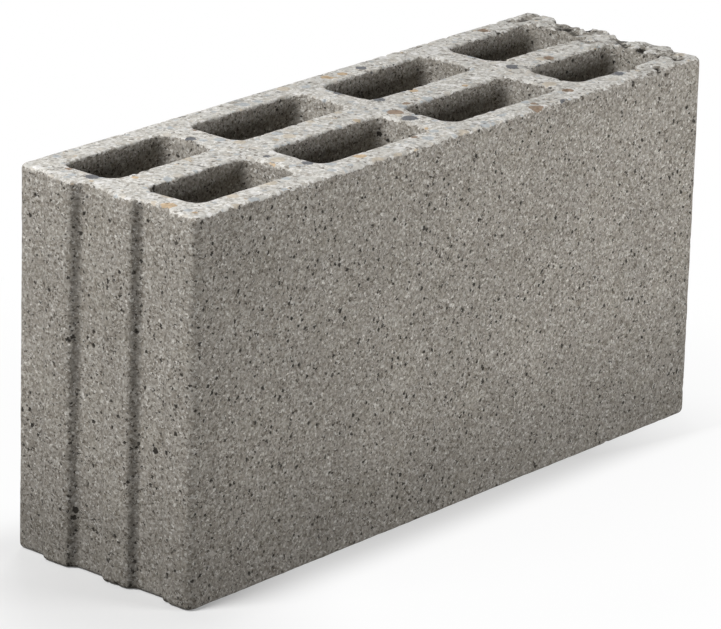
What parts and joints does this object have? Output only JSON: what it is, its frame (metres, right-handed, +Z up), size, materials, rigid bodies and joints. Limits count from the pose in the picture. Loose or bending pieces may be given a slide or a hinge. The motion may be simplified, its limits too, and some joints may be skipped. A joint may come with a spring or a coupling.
{
  "type": "hollow concrete block",
  "caption": "Hollow concrete masonry block for thin joints: ground top bed, two rows of upright cells and toothed ends that lock into the next block",
  "frame": {"origin": "middle of the bottom bed, on the upright axis about which the block is two-fold symmetric", "axes": "+X along the wall (the longest side), +Y through the wall (the shortest side), +Z up, towards the ground top bed"},
  "size_m": [0.5, 0.15, 0.249],
  "materials": {
    "concrete": "vibro-pressed open-textured aggregate concrete, grey-brown, with fine pores; the top bed is ground and shows pale cut stone"
  },
  "bodies": {
    "root": {"concrete_block": "concrete"}
  },
  "joints": []
}
